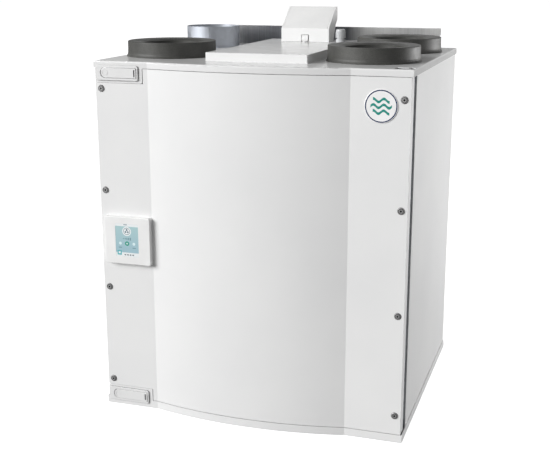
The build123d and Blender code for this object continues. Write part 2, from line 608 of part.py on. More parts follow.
# Gland: a threaded body and a ribbed dome nut.
with BuildPart() as cable_gland:
    rod_z(*GLAND, COVER_TOP, COVER_TOP + 8, 10.4)
    rod_z(*GLAND, COVER_TOP + 8, COVER_TOP + 11, 8.4)
    with BuildSketch(Plane.XY.offset(COVER_TOP + 11.2)):
        with Locations(GLAND):
            Circle(10.6)
            with PolarLocations(10.6, 16):
                Circle(0.8)
    extrude(amount=13)
    with BuildSketch(Plane.XY.offset(COVER_TOP + 24.2)):
        with Locations(GLAND):
            Circle(10.6)
    extrude(amount=6.5)
    fillet(cable_gland.faces().sort_by(Axis.Z)[-1].edges(), 3.5)
    rod_z(*GLAND, COVER_TOP - 1, COVER_TOP + 40, GLAND_BORE, mode=Mode.SUBTRACT)
save(cable_gland, "cable_gland")


# ---- Terminal box on the cover --------------------------------------------------------------------------

BOX_FRONT, BOX_BACK = 128.7, 206.7
BOX_SHOULDER = 798.0            # top of the upright front
BOX_SLOPE_END = (192.5, 844.5)  # top of the slope, y and z
BOX_TOP = BOX_SLOPE_END[1]
BOX_REAR_LOW = (170.8, COVER_TOP)
BOX_REAR = [(191.7, 804.0), (BOX_BACK, 815.0)]
CHEEK = 4.0
LID = 2.5
LID_HINGE = (201.0, 841.6)

with BuildPart() as terminal_box:
    with BuildSketch(Plane.YZ.offset(-BOX_HALF)):
        with BuildLine():
            Polyline(
                (BOX_FRONT + LID + FIT, COVER_TOP), (BOX_FRONT + LID + FIT, BOX_SHOULDER + 2), BOX_SLOPE_END,
                (BOX_BACK, BOX_TOP), BOX_REAR[1], BOX_REAR[0], BOX_REAR_LOW, close=True,
            )
        make_face()
    extrude(amount=2 * BOX_HALF)
    with BuildSketch(Plane.YZ.offset(-BOX_HALF + CHEEK)):
        with BuildLine():
            Polyline(
                (BOX_FRONT - 1, COVER_TOP + SHEET), (BOX_FRONT - 1, BOX_TOP + 1), (BOX_BACK - LID, BOX_TOP + 1),
                (BOX_BACK - LID, BOX_REAR[1][1] + 1), (BOX_REAR[0][0] - 2, BOX_REAR[0][1] + 1),
                (BOX_REAR_LOW[0] - 2, COVER_TOP + SHEET), close=True,
            )
        make_face()
    extrude(amount=2 * (BOX_HALF - CHEEK), mode=Mode.SUBTRACT)
    rod_x(-BOX_HALF + 1, BOX_HALF - 1, *LID_HINGE, 1.25, mode=Mode.SUBTRACT)
    rod_z(0, 152, COVER_TOP - 1, COVER_TOP + 3, 12, mode=Mode.SUBTRACT)
save(terminal_box, "terminal_box")

CATCH_HALF, CATCH_TOP = 7.6, 782.5
CATCH_SLOT = 1.8                 # open slots beside and above the catch
SLOPE_RUN = BOX_SLOPE_END[0] - BOX_FRONT
SLOPE_RISE = BOX_TOP - BOX_SHOULDER
SLOPE_LENGTH = sqrt(SLOPE_RUN**2 + SLOPE_RISE**2)
LID_DY = LID * SLOPE_RISE / SLOPE_LENGTH    # the slope's thickness, resolved along y
LID_DZ = LID * SLOPE_RUN / SLOPE_LENGTH     # and along z
LID_HALF = BOX_HALF - CHEEK - FIT
with BuildPart() as terminal_box_lid:
    with BuildSketch(Plane.YZ.offset(-LID_HALF)):
        with BuildLine():
            Polyline(
                (BOX_FRONT, COVER_TOP + FIT), (BOX_FRONT, BOX_SHOULDER), BOX_SLOPE_END, (200.0, BOX_TOP),
                (200.0, BOX_TOP - LID), (BOX_SLOPE_END[0] + LID_DY / 2, BOX_TOP - LID),
                (BOX_FRONT + LID, BOX_SHOULDER - LID_DZ / 2), (BOX_FRONT + LID, COVER_TOP + FIT), close=True,
            )
        make_face()
    extrude(amount=2 * LID_HALF)
    for side in (-1, 1):
        block(side * LID_HALF, side * BOX_HALF, BOX_FRONT, BOX_FRONT + LID, COVER_TOP + FIT, BOX_SHOULDER)
    rod_x(-LID_HALF, LID_HALF, *LID_HINGE, 2.2)
    rod_x(-BOX_HALF + 2, BOX_HALF - 2, *LID_HINGE, 1.2)
    block(
        -CATCH_HALF - CATCH_SLOT, CATCH_HALF + CATCH_SLOT, BOX_FRONT - 1, BOX_FRONT + LID + 1,
        COVER_TOP, CATCH_TOP + CATCH_SLOT / 2, mode=Mode.SUBTRACT,
    )
save(terminal_box_lid, "terminal_box_lid")

# Snap catch: a tab in the lid's lower edge that is pressed in to free the lid.
with BuildPart() as terminal_box_catch:
    block(-CATCH_HALF, CATCH_HALF, BOX_FRONT - 1.5, BOX_FRONT + 1.5, COVER_TOP + 1.5, CATCH_TOP)
    fillet(terminal_box_catch.edges().filter_by(Axis.Y).group_by(Axis.Z)[0], 4.0)
    block(-CATCH_HALF + 2, CATCH_HALF - 2, BOX_FRONT - 2.3, BOX_FRONT - 1.5, COVER_TOP + 5, COVER_TOP + 7)
save(terminal_box_catch, "terminal_box_catch")


# ---- Door -----------------------------------------------------------------------------------------------

DOOR_SCREWS = [(x, z) for x in (-312.6, 312.6) for z in (58.5, 270.0, 482.0, 694.0)]


def door_block(inset, back):
    """The door's solid shape, inset all round and in its two notches."""
    outline = plan_outline(DOOR_HALF - inset, back, inset)
    with BuildPart() as shape:
        with BuildSketch(Plane.XY.offset(DOOR_LOW + inset)):
            add(outline)
        extrude(amount=DOOR_HIGH - DOOR_LOW - 2 * inset)
        block(-400, NOTCH_X + inset, -400, 0, NOTCH_HIGH - inset, HEIGHT, mode=Mode.SUBTRACT)
        block(-400, NOTCH_X + inset, -400, 0, 0, NOTCH_LOW + inset, mode=Mode.SUBTRACT)
    return shape.part


DOOR_OUTSIDE = door_block(0.0, DOOR_BACK)
DOOR_HOLLOW = door_block(SHEET, DOOR_BACK + 1)
PAN_SHEET = 1.0
PAN_HALF, PAN_LOW, PAN_HIGH = FRAME_HALF - 3, FRAME_LOW + 3, FRAME_HIGH - 3
PAN_BACK = -238.0
FLANGE_BACK = DOOR_BACK - 0.4
DOOR_FOAM = door_block(SHEET + 0.2, FLANGE_BACK - PAN_SHEET - 0.1)

with BuildPart() as door_skin:
    add(DOOR_OUTSIDE)
    add(DOOR_HOLLOW, mode=Mode.SUBTRACT)
    for x, z in DOOR_SCREWS:
        rod_y(x, FRONT - 1, FRONT + 2, z, 2.4, mode=Mode.SUBTRACT)
save(door_skin, "door_skin")

with BuildPart() as door_insulation:
    add(DOOR_FOAM)
    fill = PAN_SHEET + 0.2
    block(-PAN_HALF + fill, PAN_HALF - fill, FRONT + 5, PAN_BACK - fill, PAN_LOW + fill, PAN_HIGH - fill)
    for x, z in DOOR_SCREWS:
        rod_y(x, FRONT, FRONT + 20, z, 2.4, mode=Mode.SUBTRACT)
save(door_insulation, "door_insulation")

# Inner pan: a flange across the back of the door and a raised middle that fits the cabinet's opening.
with BuildPart() as door_pan:
    block(-323.2, 323.2, FLANGE_BACK - PAN_SHEET, FLANGE_BACK, DOOR_LOW + 1.8, DOOR_HIGH - 1.8)
    block(-400, NOTCH_X + 1.8, -400, 0, NOTCH_HIGH - 1.8, HEIGHT, mode=Mode.SUBTRACT)
    block(-400, NOTCH_X + 1.8, -400, 0, 0, NOTCH_LOW + 1.8, mode=Mode.SUBTRACT)
    block(-PAN_HALF, PAN_HALF, FLANGE_BACK - PAN_SHEET, PAN_BACK, PAN_LOW, PAN_HIGH)
    block(
        -PAN_HALF + PAN_SHEET, PAN_HALF - PAN_SHEET, FLANGE_BACK - 5, PAN_BACK - PAN_SHEET,
        PAN_LOW + PAN_SHEET, PAN_HIGH - PAN_SHEET, mode=Mode.SUBTRACT,
    )
save(door_pan, "door_pan")

SEAL_HALF, SEAL_WIDTH = 298.0, 12.0
SEAL_LOW, SEAL_HIGH = 50.0, 702.0
with BuildPart() as door_gasket:
    block(-SEAL_HALF, SEAL_HALF, FLANGE_BACK, SIDE_FRONT - FIT, SEAL_LOW, SEAL_HIGH)
    inner = SEAL_HALF - SEAL_WIDTH
    block(-inner, inner, -260, -200, SEAL_LOW + SEAL_WIDTH, SEAL_HIGH - SEAL_WIDTH, mode=Mode.SUBTRACT)
save(door_gasket, "door_gasket")

# Each screw sits in a raised cup washer and has a hexagon socket.
with BuildPart() as door_screws:
    for x, z in DOOR_SCREWS:
        with BuildSketch(Plane(origin=(x, FRONT, z), x_dir=(1, 0, 0), z_dir=(0, 0, 1))):
            with BuildLine():
                Polyline((2.6, 0), (7.3, 0), (7.1, -0.7), (5.8, -1.8), (5.1, -1.8), (2.6, -0.5), close=True)
            make_face()
        revolve(axis=Axis((x, 0, z), (0, 1, 0)))
        with BuildSketch(Plane(origin=(x, FRONT, z), x_dir=(1, 0, 0), z_dir=(0, 0, 1))):
            with BuildLine():
                Polyline((0, 14), (2.2, 14), (2.2, -0.6), (4.1, -1.75), (4.1, -2.2), (0, -2.2), close=True)
            make_face()
        revolve(axis=Axis((x, 0, z), (0, 1, 0)))
        with BuildSketch(front_plane(FRONT - 2.2)):
            with Locations((x, z)):
                RegularPolygon(1.9, 6)
        extrude(amount=-2.0, mode=Mode.SUBTRACT)
save(door_screws, "door_screws")

# Knuckles on the door turn on pins that stand in the trays.
KNUCKLES = ((DOOR_HIGH - 1.9, -1), (DOOR_LOW + 1.9, 1))
with BuildPart() as door_knuckles:
    for edge, into in KNUCKLES:
        block(HINGE[0] - 10, HINGE[0] + 10, FLANGE_BACK, HINGE[1] + 5, edge, edge + into * 22)
        rod_z(*HINGE, edge - into, edge + into * 24, PIN_R + 0.05, mode=Mode.SUBTRACT)
save(door_knuckles, "door_knuckles")

with BuildPart() as hinge_pins:
    for edge, seat, far in ((DOOR_HIGH - 20, HEIGHT - TOP_LIP + 0.5, HEIGHT - TOP_LIP + 5), (40, BASE_LIP - 0.5, SHEET)):
        block(HINGE[0] - 15, HINGE[0] + 13, HINGE[1] - 10, HINGE[1] + 10, seat, far)
        rod_z(*HINGE, edge, seat, PIN_R)
    # The upper plate turns up behind the slots to meet the top sheet.
    upstand = HEIGHT - TOP_LIP + 4
    block(HINGE[0] - 15, HINGE[0] + 13, HINGE_SLOT_BACK + 0.4, HINGE[1] + 10, upstand, HEIGHT - SHEET - 0.2)
save(hinge_pins, "hinge_pins")

# Touch panel on the door's left flat.
HMI = (-312.6, -209.1, 327.8, 429.3)
HMI_DEPTH = 13.0
SCREEN = (-287.8, -235.2, 344.0, 415.5)
with BuildPart() as hmi_housing:
    block(HMI[0], HMI[1], FRONT, FRONT - HMI_DEPTH, HMI[2], HMI[3])
    fillet(hmi_housing.edges().filter_by(Axis.Y), 4.0)
    fillet(hmi_housing.faces().sort_by(Axis.Y)[0].edges(), 1.2)
    block(SCREEN[0], SCREEN[1], FRONT - HMI_DEPTH + 1.5, FRONT - HMI_DEPTH - 1, SCREEN[2], SCREEN[3], mode=Mode.SUBTRACT)
save(hmi_housing, "hmi_housing")

with BuildPart() as hmi_screen:
    block(
        SCREEN[0] + 0.15, SCREEN[1] - 0.15, FRONT - HMI_DEPTH + 1.5, FRONT - HMI_DEPTH + 0.2,
        SCREEN[2] + 0.15, SCREEN[3] - 0.15,
    )
save(hmi_screen, "hmi_screen")

BADGE = (269.0, 681.0)
BADGE_R = 32.0
with BuildPart() as badge:
    rod_y(BADGE[0], FRONT, FRONT - 1.4, BADGE[1], BADGE_R)
    fillet(badge.faces().sort_by(Axis.Y)[0].edges(), 0.6)
save(badge, "badge")


# ---- Corner latches -------------------------------------------------------------------------------------

PLATE_LEFT, PLATE_RIGHT = -322.5, -228.5
PLATE_HALF_HEIGHT = 15.4
PLATE_THICK = 3.0
LEVER_LEFT, LEVER_RIGHT = -310.4, -232.4
LEVER_HALF_HEIGHT = 10.0
LEVER_FRONT = FRONT - 4.5
LATCH_PIN_R = 1.0
ARM_REACH = 19.6            # the nose ends just short of the door's edge
LATCHES = (("top", LATCH_TOP_Z, -1), ("bottom", LATCH_BASE_Z, 1))


def pill(left, right, half_height, z, end_radius):
    """Outline of a paddle: a round left end and a square right end with small corners."""
    with BuildSketch() as outline:
        with Locations(((left + half_height + right) / 2, z)):
            Rectangle(right - left - half_height, 2 * half_height)
        fillet(outline.vertices().group_by(Axis.X)[-1], end_radius)
        with Locations((left + half_height, z)):
            Circle(half_height)
    return outline.sketch


with BuildPart() as latch_plates:
    for _, z, _ in LATCHES:
        recess = pill(LEVER_LEFT - 2.2, LEVER_RIGHT + 0.6, LEVER_HALF_HEIGHT + 0.6, z, 2.0)
        with BuildSketch(front_plane(FRONT)) as plate_outline:
            with Locations(((PLATE_LEFT + PLATE_RIGHT) / 2, z)):
                Rectangle(PLATE_RIGHT - PLATE_LEFT, 2 * PLATE_HALF_HEIGHT)
            fillet(plate_outline.vertices(), 5.0)
            add(recess, mode=Mode.SUBTRACT)
        extrude(amount=PLATE_THICK)
    rims = latch_plates.faces().filter_by(Axis.Y).group_by(Axis.Y)[0]
    chamfer(ShapeList([edge for rim in rims for edge in rim.outer_wire().edges()]), 0.8)
    for _, z, _ in LATCHES:
        rod_z(*LATCH_PIVOT, z - 13, z + 13, LATCH_PIN_R, mode=Mode.SUBTRACT)
save(latch_plates, "latch_plates")

with BuildPart() as latch_pins:
    for _, z, _ in LATCHES:
        rod_z(*LATCH_PIVOT, z - 12.9, z + 12.9, LATCH_PIN_R - 0.05)
save(latch_pins, "latch_pins")

for name, z, towards_door in LATCHES:
    paddle = pill(LEVER_LEFT, LEVER_RIGHT, LEVER_HALF_HEIGHT, z, 1.5)
    with BuildPart() as lever:
        with BuildSketch(front_plane(FRONT - 0.4)):
            add(paddle)
        extrude(amount=FRONT - 0.4 - LEVER_FRONT)
        chamfer(lever.faces().sort_by(Axis.Y)[0].edges(), 0.6)
        # Finger grip at the right end, and a shallow ring over the pivot.
        block(
            LEVER_RIGHT - 5.5, LEVER_RIGHT - 2.5, LEVER_FRONT - 1, LEVER_FRONT + 2.5,
            z - LEVER_HALF_HEIGHT + 3, z + LEVER_HALF_HEIGHT - 3, mode=Mode.SUBTRACT,
        )
        with BuildSketch(front_plane(LEVER_FRONT)):
            with Locations((LEVER_LEFT + LEVER_HALF_HEIGHT, z)):
                Circle(6.2)
                Circle(5.4, mode=Mode.SUBTRACT)
        extrude(amount=-0.5, mode=Mode.SUBTRACT)
        # Arm behind the paddle, with a nose that reaches towards the door's edge.
        block(LATCH_PIVOT[0] - 1.5, LATCH_PIVOT[0] + 1.5, FRONT - 1, FRONT + 19, z - 6, z + 6)
        block(
            LATCH_PIVOT[0] - 1.5, LATCH_PIVOT[0] + 1.5, FRONT + 15, FRONT + 19, z, z + towards_door * ARM_REACH,
        )
        rod_z(*LATCH_PIVOT, z - 12, z + 12, LATCH_PIN_R, mode=Mode.SUBTRACT)
    save(lever, f"latch_lever_{name}")
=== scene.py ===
import json
import math

import bmesh
import bpy
from mathutils import Matrix, Vector


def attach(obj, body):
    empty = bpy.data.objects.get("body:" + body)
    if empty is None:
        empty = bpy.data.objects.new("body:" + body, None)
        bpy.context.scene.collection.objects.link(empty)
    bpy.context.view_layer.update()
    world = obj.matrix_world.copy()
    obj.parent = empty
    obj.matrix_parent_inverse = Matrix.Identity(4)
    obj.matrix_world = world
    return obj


# Heat recovery unit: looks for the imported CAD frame.
# Metres, in the CAD's own frame: the door faces -Y, +Z is up.

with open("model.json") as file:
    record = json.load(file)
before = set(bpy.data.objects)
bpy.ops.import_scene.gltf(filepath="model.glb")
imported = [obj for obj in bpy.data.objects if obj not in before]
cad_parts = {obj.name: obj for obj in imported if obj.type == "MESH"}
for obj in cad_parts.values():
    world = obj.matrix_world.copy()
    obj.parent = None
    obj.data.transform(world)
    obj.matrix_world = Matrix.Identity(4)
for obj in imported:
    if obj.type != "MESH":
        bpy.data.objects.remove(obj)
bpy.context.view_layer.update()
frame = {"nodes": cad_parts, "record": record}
NODES = frame["nodes"]
MM = 0.001


# ---- Node materials -------------------------------------------------------------------------------------

class Shade:
    """One procedural material around a Principled shader.

    Patterns read the piece's own coordinates, in metres.
    """

    def __init__(self, name, rough=0.5, metallic=0.0, **sockets):
        self.mat = bpy.data.materials.new(name)
        self.mat.use_nodes = True
        self.tree = self.mat.node_tree
        self.bsdf = self.tree.nodes["Principled BSDF"]
        self.bsdf.inputs["Roughness"].default_value = rough
        self.bsdf.inputs["Metallic"].default_value = metallic
        for socket, value in sockets.items():
            self.bsdf.inputs[socket.replace("_", " ")].default_value = value
        self.place = self.new("ShaderNodeTexCoord").outputs["Object"]

    def new(self, kind, inputs=(), **settings):
        node = self.tree.nodes.new(kind)
        for key, value in settings.items():
            setattr(node, key, value)
        for key, value in dict(inputs).items():
            self.feed(node.inputs[key], value)
        return node

    def feed(self, socket, value):
        if isinstance(value, bpy.types.NodeSocket):
            self.tree.links.new(value, socket)
        else:
            socket.default_value = value

    def math(self, operation, a, b=0.0):
        return self.new("ShaderNodeMath", {0: a, 1: b}, operation=operation).outputs[0]

    def axis(self, name):
        return self.new("ShaderNodeSeparateXYZ", {0: self.place}).outputs[name]

    def stretched(self, scale):
        return self.new("ShaderNodeMapping", {"Vector": self.place, "Scale": scale}).outputs[0]

    def noise(self, scale, detail=3.0, stretch=None):
        vector = self.stretched(stretch) if stretch else self.place
        inputs = {"Vector": vector, "Scale": scale, "Detail": detail}
        return self.new("ShaderNodeTexNoise", inputs).outputs[0]

    def cells(self, scale):
        return self.new("ShaderNodeTexVoronoi", {"Vector": self.place, "Scale": scale}).outputs["Color"]

    def ramp(self, value, *stops):
        """Colour along value: each stop is a position and a grey or a colour."""
        node = self.new("ShaderNodeValToRGB", {0: value})
        elements = node.color_ramp.elements
        while len(elements) < len(stops):
            elements.new(0.5)
        for element, (position, colour) in zip(elements, stops):
            element.position = position
            element.color = rgba(colour)
        return node.outputs[0]

    def range(self, value, low, high):
        """A 0 to 1 value moved into the range from low to high."""
        return self.new("ShaderNodeMapRange", {0: value, 3: low, 4: high}).outputs[0]

    def blend(self, factor, a, b, how="MIX"):
        node = self.new("ShaderNodeMix", data_type="RGBA", blend_type=how)
        self.feed(node.inputs[0], factor)
        for index, value in ((6, a), (7, b)):
            self.feed(node.inputs[index], value if isinstance(value, bpy.types.NodeSocket) else rgba(value))
        return node.outputs[2]

    def colour(self, value):
        self.feed(self.bsdf.inputs["Base Color"], value)

    def roughness(self, value):
        self.feed(self.bsdf.inputs["Roughness"], value)

    def bump(self, *layers):
        """Each layer is a height, its strength and its depth in millimetres."""
        normal = None
        for height, strength, depth in layers:
            inputs = {"Height": height, "Strength": strength, "Distance": depth * MM}
            node = self.new("ShaderNodeBump", inputs)
            if normal is not None:
                self.feed(node.inputs["Normal"], normal)
            normal = node.outputs[0]
        self.feed(self.bsdf.inputs["Normal"], normal)
        return self

    # Flat marks on a face that looks to -Y: masks in x and z, in millimetres.
    def box_mask(self, x, z, half_x, half_z):
        masks = []
        for name, middle, half in (("X", x, half_x), ("Z", z, half_z)):
            away = self.math("ABSOLUTE", self.math("SUBTRACT", self.axis(name), middle * MM))
            masks.append(self.math("LESS_THAN", away, half * MM))
        return self.math("MULTIPLY", *masks)

    def disc_mask(self, x, z, radius):
        flat = self.new("ShaderNodeVectorMath", {0: self.place, 1: (1, 0, 1)}, operation="MULTIPLY")
        middle = (x * MM, 0, z * MM)
        far = self.new("ShaderNodeVectorMath", {0: flat.outputs[0], 1: middle}, operation="DISTANCE")
        return self.math("LESS_THAN", far.outputs["Value"], radius * MM)

    def ring_mask(self, x, z, radius, width):
        inner = self.disc_mask(x, z, radius - width)
        return self.math("SUBTRACT", self.disc_mask(x, z, radius), inner)


def rgba(colour):
    if isinstance(colour, (int, float)):
        colour = (colour, colour, colour)
    return (*colour, 1.0)


def paint(name, light, dark, rough):
    """Powder coat: a hardly visible cloudiness and a fine orange peel."""
    shade = Shade(name, rough, Specular_IOR_Level=0.5)
    shade.colour(shade.ramp(shade.noise(5, 4), (0.35, dark), (0.65, light)))
    shade.roughness(shade.range(shade.noise(38, 5), rough - 0.05, rough + 0.06))
    return shade.bump((shade.noise(420, 2), 0.10, 0.06), (shade.noise(1500, 2), 0.06, 0.03)).mat


def galvanised(name, dark, light, grain=75, rough=0.42):
    """Zinc coat: crystals of different brightness, with a soft drawn grain over them."""
    shade = Shade(name, rough, 0.85)
    crystal = shade.ramp(shade.cells(grain), (0.1, dark), (0.9, light))
    grainy = shade.noise(60, 4, (1, 1, 0.08))
    shade.colour(shade.blend(0.30, crystal, shade.ramp(grainy, (0.3, dark), (0.7, light))))
    shade.roughness(shade.range(shade.cells(grain), rough - 0.10, rough + 0.12))
    return shade.bump((shade.cells(grain), 0.12, 0.08), (shade.noise(900, 3), 0.08, 0.05)).mat


def brushed(name, colour, rough, stretch, metallic=1.0):
    """Turned or rolled metal: fine lines along one direction."""
    shade = Shade(name, rough, metallic)
    lines = shade.noise(900, 4, stretch)
    darker = tuple(0.78 * c for c in colour)
    shade.colour(shade.ramp(lines, (0.3, darker), (0.7, colour)))
    shade.roughness(shade.range(lines, rough - 0.08, rough + 0.10))
    return shade.bump((lines, 0.12, 0.04)).mat


def moulded(name, colour, rough=0.45, grain=1100, strength=0.16, specular=0.5):
    """Injection-moulded plastic or rubber: an even colour with a fine spark-eroded grain."""
    shade = Shade(name, rough, Specular_IOR_Level=specular)
    darker = tuple(0.90 * c for c in colour)
    shade.colour(shade.ramp(shade.noise(14, 4), (0.3, darker), (0.7, colour)))
    shade.roughness(shade.range(shade.noise(90, 4), rough - 0.05, rough + 0.07))
    return shade.bump((shade.noise(grain, 2), strength, 0.05)).mat


def beads(name, colour, size=3.6):
    """Expanded foam: welded beads with darker seams."""
    shade = Shade(name, 0.85, Specular_IOR_Level=0.25)
    scale = 1 / (size * MM)
    edge = shade.new(
        "ShaderNodeTexVoronoi", {"Vector": shade.place, "Scale": scale}, feature="DISTANCE_TO_EDGE",
    )
    seam = tuple(0.72 * c for c in colour)
    tone = shade.ramp(shade.cells(scale), (0.0, tuple(0.93 * c for c in colour)), (1.0, colour))
    shade.colour(shade.blend(shade.range(edge.outputs[0], 1.0, -3.0), tone, seam))
    return shade.bump((edge.outputs[0], 0.35, 0.25), (shade.noise(1200, 3), 0.15, 0.05)).mat


def fibres(name, light, dark, scale, rough=0.8):
    """Card or filter paper: pressed fibres."""
    shade = Shade(name, rough, Specular_IOR_Level=0.25)
    long_way = shade.noise(scale, 5, (1, 1, 0.2))
    cross = shade.noise(scale, 5, (0.25, 1, 1))
    shade.colour(shade.blend(0.5, shade.ramp(long_way, (0.3, dark), (0.7, light)),
                             shade.ramp(cross, (0.3, dark), (0.7, light))))
    return shade.bump((long_way, 0.3, 0.1), (cross, 0.3, 0.1)).mat


RAIL_HALF = 0.288           # half the rail's length, in metres


def rail_sheet():
    """Bright zinc sheet: upright drawing lines, with painted shade and painted highlights in stretches along
    its length.
    """
    shade = Shade("rail_sheet", 0.34, 0.9)
    length = shade.new("ShaderNodeMapRange", {0: shade.axis("X"), 1: -RAIL_HALF, 2: RAIL_HALF}).outputs[0]
    wander = shade.math("ADD", length, shade.range(shade.noise(9, 3), -0.03, 0.03))
    # painted shade (dark) and painted highlights (light, dull), placed along the rail's length
    dark, light, dull = (0.16, 0.165, 0.18), (0.84, 0.84, 0.83), (0.62, 0.62, 0.62)
    painted_shade_and_highlights = shade.ramp(
        wander, (0.0, 0.45), (0.26, dark), (0.61, dark), (0.69, light), (0.88, dull), (1.0, light),
    )
    lines = shade.noise(500, 4, (1, 1, 0.02))
    shade.colour(shade.blend(0.35, painted_shade_and_highlights, shade.ramp(lines, (0.3, 0.20), (0.7, 0.70)), "OVERLAY"))
    shade.roughness(shade.range(lines, 0.26, 0.42))
    return shade.bump((lines, 0.10, 0.04)).mat


BOARD_TOP = 703.8           # everything higher on the board is a part


def circuit_board():
    """Green board with tracks, and dark, grey or blue parts above it."""
    shade = Shade("circuit_board", 0.4)
    height = shade.axis("Z")
    tracks = shade.new("ShaderNodeTexBrick", {
        "Vector": shade.place, "Scale": 95.0, "Mortar Size": 0.035,
        "Color1": rgba((0.02, 0.16, 0.07)), "Color2": rgba((0.025, 0.19, 0.08)),
        "Mortar": rgba((0.10, 0.34, 0.16)),
    })
    black, blue, grey = (0.02, 0.02, 0.022), (0.05, 0.10, 0.22), (0.25, 0.25, 0.26)
    parts = shade.ramp(shade.cells(38), (0.2, black), (0.6, blue), (0.9, grey))
    shade.colour(shade.blend(shade.math("GREATER_THAN", height, BOARD_TOP * MM), tracks.outputs[0], parts))
    return shade.bump((tracks.outputs["Fac"], 0.2, 0.05), (shade.noise(900, 3), 0.1, 0.05)).mat


def rubber_foam():
    """Moulded foam rubber of the duct collars: dull, with fine pores and a slight bloom."""
    shade = Shade("collar_rubber", 0.55, Specular_IOR_Level=0.45)
    bloom = shade.ramp(shade.noise(24, 5), (0.35, (0.050, 0.050, 0.046)), (0.7, (0.076, 0.076, 0.070)))
    pores = shade.ramp(shade.noise(700, 3), (0.42, 0.75), (0.55, 1.0))
    shade.colour(shade.blend(1.0, bloom, pores, "MULTIPLY"))
    shade.roughness(shade.range(shade.noise(60, 4), 0.45, 0.62))
    return shade.bump((shade.noise(700, 3), 0.25, 0.10), (shade.noise(60, 3), 0.10, 0.3)).mat


DOOR_FRONT = -281.5
SCREW_X, SCREW_LEVELS = 312.6, (58.5, 270.0, 482.0, 694.0)
# painted shade: each screw's socket and the rings at its head and washer edges are painted dark
SCREW_SOCKET_SHADE_R = 2.1
SCREW_SHADE_RINGS = ((5.4, 1.2, 0.05), (8.0, 1.5, 0.10))    # outer radius, width, grey


def door_screw():
    """Dull zinc screws in cup washers, with painted shade: a dark socket, and dark rings around head and
    washer.
    """
    shade = Shade("door_screw", 0.48, 0.7)
    shade.place = shade.new("ShaderNodeVectorMath", {0: shade.place}, operation="ABSOLUTE").outputs[0]
    look = shade.ramp(shade.noise(700, 4), (0.3, 0.34), (0.7, 0.46))
    # painted shade: a dark disc in each socket, dark rings around head and washer
    for level in SCREW_LEVELS:
        look = shade.blend(shade.disc_mask(SCREW_X, level, SCREW_SOCKET_SHADE_R), look, 0.02)
        for radius, width, grey in SCREW_SHADE_RINGS:
            look = shade.blend(shade.ring_mask(SCREW_X, level, radius, width), look, grey)
    shade.colour(look)
    return shade.bump((shade.noise(900, 3), 0.10, 0.04)).mat


# painted shade begins this far in front of the door, deep in the latch's gaps
LATCH_SHADE_DEPTH = 2.3       # how far in front of the door the latch's gaps begin


def latch_plastic():
    """White plastic, greyer low down in the gaps: painted shade."""
    shade = Shade("latch_plastic", 0.36)
    white = shade.ramp(shade.noise(14, 4), (0.3, 0.74), (0.7, 0.80))
    # painted shade: faces further back than this are dark grey
    painted_gap_shade = shade.math("GREATER_THAN", shade.axis("Y"), (DOOR_FRONT - LATCH_SHADE_DEPTH) * MM)
    shade.colour(shade.blend(painted_gap_shade, white, 0.16))
    shade.roughness(shade.range(shade.noise(90, 4), 0.31, 0.43))
    return shade.bump((shade.noise(1300, 2), 0.10, 0.05)).mat


SCREEN_MIDDLE = (-261.5, 379.75)


def display():
    """A generic home screen: header, dial with a fan sign, level ticks, dot, side buttons and a footer."""
    shade = Shade("display", 0.14, Coat_Weight=0.5, Coat_Roughness=0.05)
    x, z = SCREEN_MIDDLE
    teal, white, slate, green = (0.12, 0.46, 0.50), (0.86, 0.89, 0.90), (0.12, 0.20, 0.24), (0.04, 0.33, 0.25)
    limits = {0: shade.axis("Z"), 1: (z - 30) * MM, 2: (z + 30) * MM}
    upright = shade.new("ShaderNodeMapRange", limits).outputs[0]
    look = shade.ramp(upright, (0.0, (0.36, 0.54, 0.62)), (1.0, (0.43, 0.62, 0.64)))
    marks = [
        (shade.box_mask(x, z + 33.4, 27, 3.4), white), (shade.box_mask(x, z - 31.4, 27, 4.8), white),
        (shade.disc_mask(x, z + 19.5, 10.0), white), (shade.ring_mask(x, z + 19.5, 7.6, 1.0), slate),
        (shade.disc_mask(x, z - 7, 4.9), green), (shade.disc_mask(x, z - 7, 1.7), white),
        (shade.box_mask(x - 18, z - 27.6, 5.0, 5.0), teal),
        (shade.box_mask(x - 18, z - 27.2, 2.4, 2.0), white),
        (shade.box_mask(x - 3, z + 33.4, 4.0, 0.8), slate),
    ]
    for side in (-1, 1):
        marks.append((shade.disc_mask(x + side * 15.5, z - 7, 3.2), (0.72, 0.87, 0.90)))
        marks.append((shade.box_mask(x + side * 16, z - 16, 3.8, 1.0), (0.20, 0.33, 0.38)))
    for turn in range(3):
        angle = math.radians(90 + 120 * turn)
        blade_x, blade_z = x + 3.0 * math.cos(angle), z + 19.5 + 3.0 * math.sin(angle)
        marks.append((shade.disc_mask(blade_x, blade_z, 2.0), slate))
    for step, tall in enumerate((1.0, 1.5, 2.0, 2.5, 3.0)):
        marks.append((shade.box_mask(x + 4.0 * (step - 2), z + 3.4, 1.2, tall), (0.18, 0.30, 0.34)))
    for step in (-5, 1, 7, 13):
        marks.append((shade.box_mask(x + step, z - 31.4, 1.9, 1.3), (0.14, 0.17, 0.19)))
    for mask, tone in marks:
        look = shade.blend(mask, look, tone)
    shade.colour(look)
    shade.roughness(shade.range(shade.noise(120, 3), 0.12, 0.17))
    return shade.mat


BADGE = (269.0, 681.0)
WAVE_LENGTH, WAVE_HEIGHT = 20, 3.0


